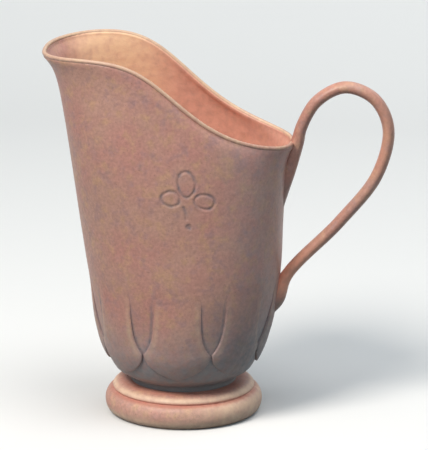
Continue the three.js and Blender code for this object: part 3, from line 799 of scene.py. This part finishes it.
handle = {
    "thickness": 7.0, "width": 10.6, "archHeight": 197.7, "outerReach": 120.02, "innerReach": 69.3,
    "archDrop": 24.2, "shoulder": (0.67, 6.6), "haunch": (0.64, 8.4), "elbow": (113.7, 145.5),
    "slope": (92.0, 116.8), "lowerRoot": (4.1, 83.5), "lowerPad": (2.0, 68.0), "lowerTail": 60.0,
    "lipStandOff": 3.4, "upperRoot": (2.6, 150.0), "upperTail": 126.0, "sink": 3.4, "ridge": 0.05,
    "strapWidth": 0.97, "tailWidth": 1.25, "tailThin": 0.9, "tailRun": (2.0, 26.0), "luting": 2.4,
    "upperLuting": (30.0, 48.0), "lowerLuting": (14.0, 30.0), "spread": 0.5, "seat": 1.2, "rimRoom": 4.0,
    "steps": 280, "sides": 40, "rootTone": 0.8, "upperRootRun": (10.0, 24.0), "lowerRootRun": (8.0, 20.0),
    # tones of painted highlight and painted shade follow
    "topTone": 0.22, "topFacing": (0.3, 0.9), "underTone": 0.3, "underFacing": (0.6, 1.0),
    "litTone": 0.95, "bendTone": 0.4, "bendAt": 0.5, "bendLength": 0.12, "litShare": (0.72, 0.9),
    "litEnd": (10.0, 18.0),
}


def smoothRoute(route, steps):
    # centripetal spline: each span is a cubic whose end slopes weigh the knots by the root of their distance
    p = np.concatenate((2 * route[:1] - route[1:2], route, 2 * route[-1:] - route[-2:-1]))
    d = np.sqrt(np.linalg.norm(np.diff(p, axis=0), axis=1))[:, None]
    d0, d1, d2 = d[:-2], d[1:-1], d[2:]
    a, b, c, e = p[:-3], p[1:-2], p[2:-1], p[3:]
    leave = ((b - a) / d0 - (c - a) / (d0 + d1) + (c - b) / d1) * d1
    arrive = ((c - b) / d1 - (e - b) / (d1 + d2) + (e - c) / d2) * d1
    t = np.linspace(0, 1, 60, endpoint=False)[None, :, None]
    b, c, leave, arrive = (v[:, None] for v in (b, c, leave, arrive))
    square, cube = 3 * (c - b) - 2 * leave - arrive, 2 * (b - c) + leave + arrive
    curve = b + leave * t + square * t ** 2 + cube * t ** 3
    curve = np.concatenate((curve.reshape(-1, 2), route[-1:]))
    run = np.concatenate(([0], np.cumsum(np.linalg.norm(np.diff(curve, axis=0), axis=1))))
    at = np.linspace(0, run[-1], steps)
    return np.stack((np.interp(at, run, curve[:, 0]), np.interp(at, run, curve[:, 1])), -1), at


def buildHandle():
    # an ellipse with a low ridge, r * (1 + ridge * (cos(2 angle) - 1) / 2), carried along the route, wider at
    # the tails, where its back is filled out to the wall and stops just inside it
    def onWall(height, standOff):
        return wallPoint(0.0, height)[..., 0] + standOff

    h = handle
    middle, half = (h["outerReach"] + h["innerReach"]) / 2, (h["outerReach"] - h["innerReach"]) / 2
    rim = mouthLine(np.array(0.0))
    route = np.array([
        (onWall(h["upperTail"], -h["sink"]), h["upperTail"]),
        (onWall(h["upperRoot"][1], h["upperRoot"][0]), h["upperRoot"][1]),
        (rim[0] + h["lipStandOff"], rim[2]), (h["innerReach"], h["archHeight"] - h["archDrop"]),
        (middle - half * h["haunch"][0], h["archHeight"] - h["haunch"][1]), (middle, h["archHeight"]),
        (middle + half * h["shoulder"][0], h["archHeight"] - h["shoulder"][1]),
        (h["outerReach"], h["archHeight"] - h["archDrop"]), h["elbow"], h["slope"],
        (onWall(h["lowerRoot"][1], h["lowerRoot"][0]), h["lowerRoot"][1]),
        (onWall(h["lowerPad"][1], h["lowerPad"][0]), h["lowerPad"][1]),
        (onWall(h["lowerTail"], -h["sink"]), h["lowerTail"])])
    path, run = smoothRoute(route, h["steps"])
    tangent = unit(np.gradient(path, axis=0))
    left = np.stack((tangent[:, 1], -tangent[:, 0]), -1)  # points inside the loop
    fromEnd = run[-1] - run
    tail = 1 - ease(np.minimum(run, fromEnd), *h["tailRun"])
    wide = h["width"] / 2 * (h["strapWidth"] + (h["tailWidth"] - h["strapWidth"]) * tail)
    thick = h["thickness"] / 2 * (1 + (h["tailThin"] - 1) * tail)
    angle = np.linspace(0, 2 * np.pi, h["sides"], endpoint=False)
    swell = 1 + h["ridge"] * (np.cos(2 * angle) - 1) / 2
    upper, lower = 1 - ease(run, *h["upperLuting"]), 1 - ease(fromEnd, *h["lowerLuting"])
    towards = lower[:, None] * np.maximum(np.cos(angle), 0)
    away = upper[:, None] * np.maximum(-np.cos(angle), 0)
    inPlane = thick[:, None] * (np.cos(angle) * swell)[None] + h["luting"] * (towards - away)
    across = wide[:, None] * (np.sin(angle) * swell)[None] * (1 + h["spread"] * (towards + away))
    x, z = path[:, :1] + left[:, :1] * inPlane, path[:, 1:] + left[:, 1:] * inPlane
    onto = np.arctan2(across, onWall(z, 0.0))
    seat = wallPoint(onto, np.minimum(z, rim[2] - h["rimRoom"]))[..., 0] - h["seat"]
    points = np.stack((np.maximum(x, seat), across, z), -1)
    # painted highlight on the upper side, around the strap's middle and along the lower slope; painted shade
    # on the underside and at both roots
    facing, share = left[:, 1:] * np.cos(angle)[None], run / run[-1]
    bend = h["bendTone"] * bell(share - h["bendAt"], h["bendLength"])
    wornAndLit = h["litTone"] * np.maximum(bend, ease(share, *h["litShare"])) * ease(fromEnd, *h["litEnd"])
    root = h["rootTone"] * (2 - ease(run, *h["upperRootRun"]) - ease(fromEnd, *h["lowerRootRun"]))[:, None]
    masks = {"ridge": np.maximum(h["topTone"] * ease(facing, *h["topFacing"]), wornAndLit[:, None]) * (1 - root),
             "recess": np.maximum(h["underTone"] * ease(-facing, *h["underFacing"]), root)}
    return makePiece("handle_strap", points, masks, "handle", finishes["handle"],
                     startPole=points[0].mean(0), endPole=points[-1].mean(0))


buildHandle()


# Stage, light and camera

stage = {
    "front": -7.0, "back": 1.3, "halfWide": 7.0, "tall": 1.9, "bend": 0.6,
    "seen": linear(242, 240, 237), "bounce": linear(64, 74, 76),
}


def seenDirectly(tree, spot):
    # 1 for camera, glossy and transmission rays, 0 for the light that bounces off
    rays = addNode(tree, "ShaderNodeLightPath", spot)
    total = rays.outputs["Is Camera Ray"]
    for step, label in enumerate(("Is Glossy Ray", "Is Transmission Ray")):
        place = (spot[0] + 200 + 180 * step, spot[1])
        plus = addNode(tree, "ShaderNodeMath", place, operation="ADD", use_clamp=True)
        tree.links.new(total, plus.inputs[0])
        tree.links.new(rays.outputs[label], plus.inputs[1])
        total = plus.outputs[0]
    return total


def buildStage():
    # floor, quarter circle and backdrop as one sheet, the profile carried along x; clear from behind
    bend = np.radians(np.linspace(0, 90, 24))
    turned = stage["back"] - stage["bend"] + stage["bend"] * np.sin(bend)
    y = np.concatenate(([stage["front"]], turned, [stage["back"]]))
    z = np.concatenate(([0], stage["bend"] * (1 - np.cos(bend)), [stage["tall"]]))
    x = np.linspace(-stage["halfWide"], stage["halfWide"], 12)
    points = np.stack(np.broadcast_arrays(x[None], y[:, None], z[:, None]), -1)
    index = np.arange(points.shape[0] * points.shape[1]).reshape(points.shape[:2])
    quads = np.stack((index[:-1, :-1], index[:-1, 1:], index[1:, 1:], index[1:, :-1]), -1).reshape(-1, 4)
    mesh = bpy.data.meshes.new("paper_sweep")
    mesh.from_pydata(points.reshape(-1, 3), [], quads.tolist())
    mesh.polygons.foreach_set("use_smooth", np.ones(len(mesh.polygons), bool))
    paper = bpy.data.materials.new("palePaper")
    paper.use_nodes = True
    tree = paper.node_tree
    tone = addNode(tree, "ShaderNodeMix", (-240, 200), data_type="RGBA")
    tone.inputs[6].default_value, tone.inputs[7].default_value = stage["bounce"], stage["seen"]
    tree.links.new(seenDirectly(tree, (-900, 200)), tone.inputs[0])
    shader = tree.nodes["Principled BSDF"]
    tree.links.new(tone.outputs[2], shader.inputs["Base Color"])
    shader.inputs["Roughness"].default_value = 0.9
    behind = addNode(tree, "ShaderNodeNewGeometry", (60, 500)).outputs["Backfacing"]
    clear = addNode(tree, "ShaderNodeBsdfTransparent", (60, 260))
    either = addNode(tree, "ShaderNodeMixShader", (340, 300))
    for made, slot in ((behind, 0), (shader.outputs[0], 1), (clear.outputs[0], 2)):
        tree.links.new(made, either.inputs[slot])
    tree.links.new(either.outputs[0], tree.nodes["Material Output"].inputs["Surface"])
    mesh.materials.append(paper)
    sweep = bpy.data.objects.new("paper_sweep", mesh)
    bpy.context.scene.collection.objects.link(sweep)


lamps = {
    "key": {"at": (-0.82, -0.98, 1.52), "size": 0.7, "power": 29.0, "tint": linear(255, 250, 243)},
    "top": {"at": (0.3, -0.35, 2.0), "size": 1.1, "power": 14.0, "tint": linear(255, 253, 250)},
    "fill": {"at": (0.75, 0.95, 0.95), "size": 1.2, "power": 4.0, "tint": linear(250, 252, 255)},
}
lampAim = Vector((0, 0, 0.11))  # about half the pitcher's height


def buildLamp(name, settings):
    light = bpy.data.lights.new(name, "AREA")
    light.shape, light.size, light.energy = "DISK", settings["size"], settings["power"]
    light.color = settings["tint"][:3]
    lamp = bpy.data.objects.new(name, light)
    lamp.location = settings["at"]
    lamp.rotation_euler = (lampAim - lamp.location).to_track_quat("-Z", "Y").to_euler()
    bpy.context.scene.collection.objects.link(lamp)


shot = {
    "azimuth": 4.5, "elevation": 15.3, "distance": 2.4, "target": (0.01808, 0, 0.1131), "focal": 4079.0,
    "rows": 450, "sensor": 36.0,
}


def buildCamera():
    # the camera stands back from the target along azimuth and elevation; lens = focal pixels * sensor / rows
    a, e = np.radians(shot["azimuth"]), np.radians(shot["elevation"])
    back = np.array((np.sin(a) * np.cos(e), -np.cos(a) * np.cos(e), np.sin(e)))
    right = np.array((np.cos(a), np.sin(a), 0))
    up = np.cross(back, right)
    spot = np.array(shot["target"]) + (footAxis, 0, 0) + back * shot["distance"]
    view = bpy.data.cameras.new("view")
    view.sensor_fit, view.sensor_height = "VERTICAL", shot["sensor"]
    view.lens = shot["focal"] / shot["rows"] * shot["sensor"]
    camera = bpy.data.objects.new("view", view)
    camera.matrix_world = Matrix(np.column_stack((right, up, back, spot)).tolist() + [[0, 0, 0, 1]])
    bpy.context.scene.collection.objects.link(camera)
    bpy.context.scene.camera = camera


buildStage()
for lampName, lampSettings in lamps.items():
    buildLamp(lampName, lampSettings)
buildCamera()
room = {"ambient": 0.4, "seen": linear(226, 230, 232), "tint": linear(206, 232, 252)}
world = bpy.data.worlds.new("studio")
world.use_nodes = True
backdrop = world.node_tree.nodes["Background"]
level = addNode(world.node_tree, "ShaderNodeMix", (-200, 100), data_type="RGBA")
level.inputs[6].default_value = [room["ambient"] * c for c in room["tint"]]
level.inputs[7].default_value = room["seen"]
world.node_tree.links.new(seenDirectly(world.node_tree, (-900, 100)), level.inputs[0])
world.node_tree.links.new(level.outputs[2], backdrop.inputs["Color"])
bpy.context.scene.world = world
bpy.context.scene.view_settings.view_transform = "Standard"
print("stage, lamps and camera set")
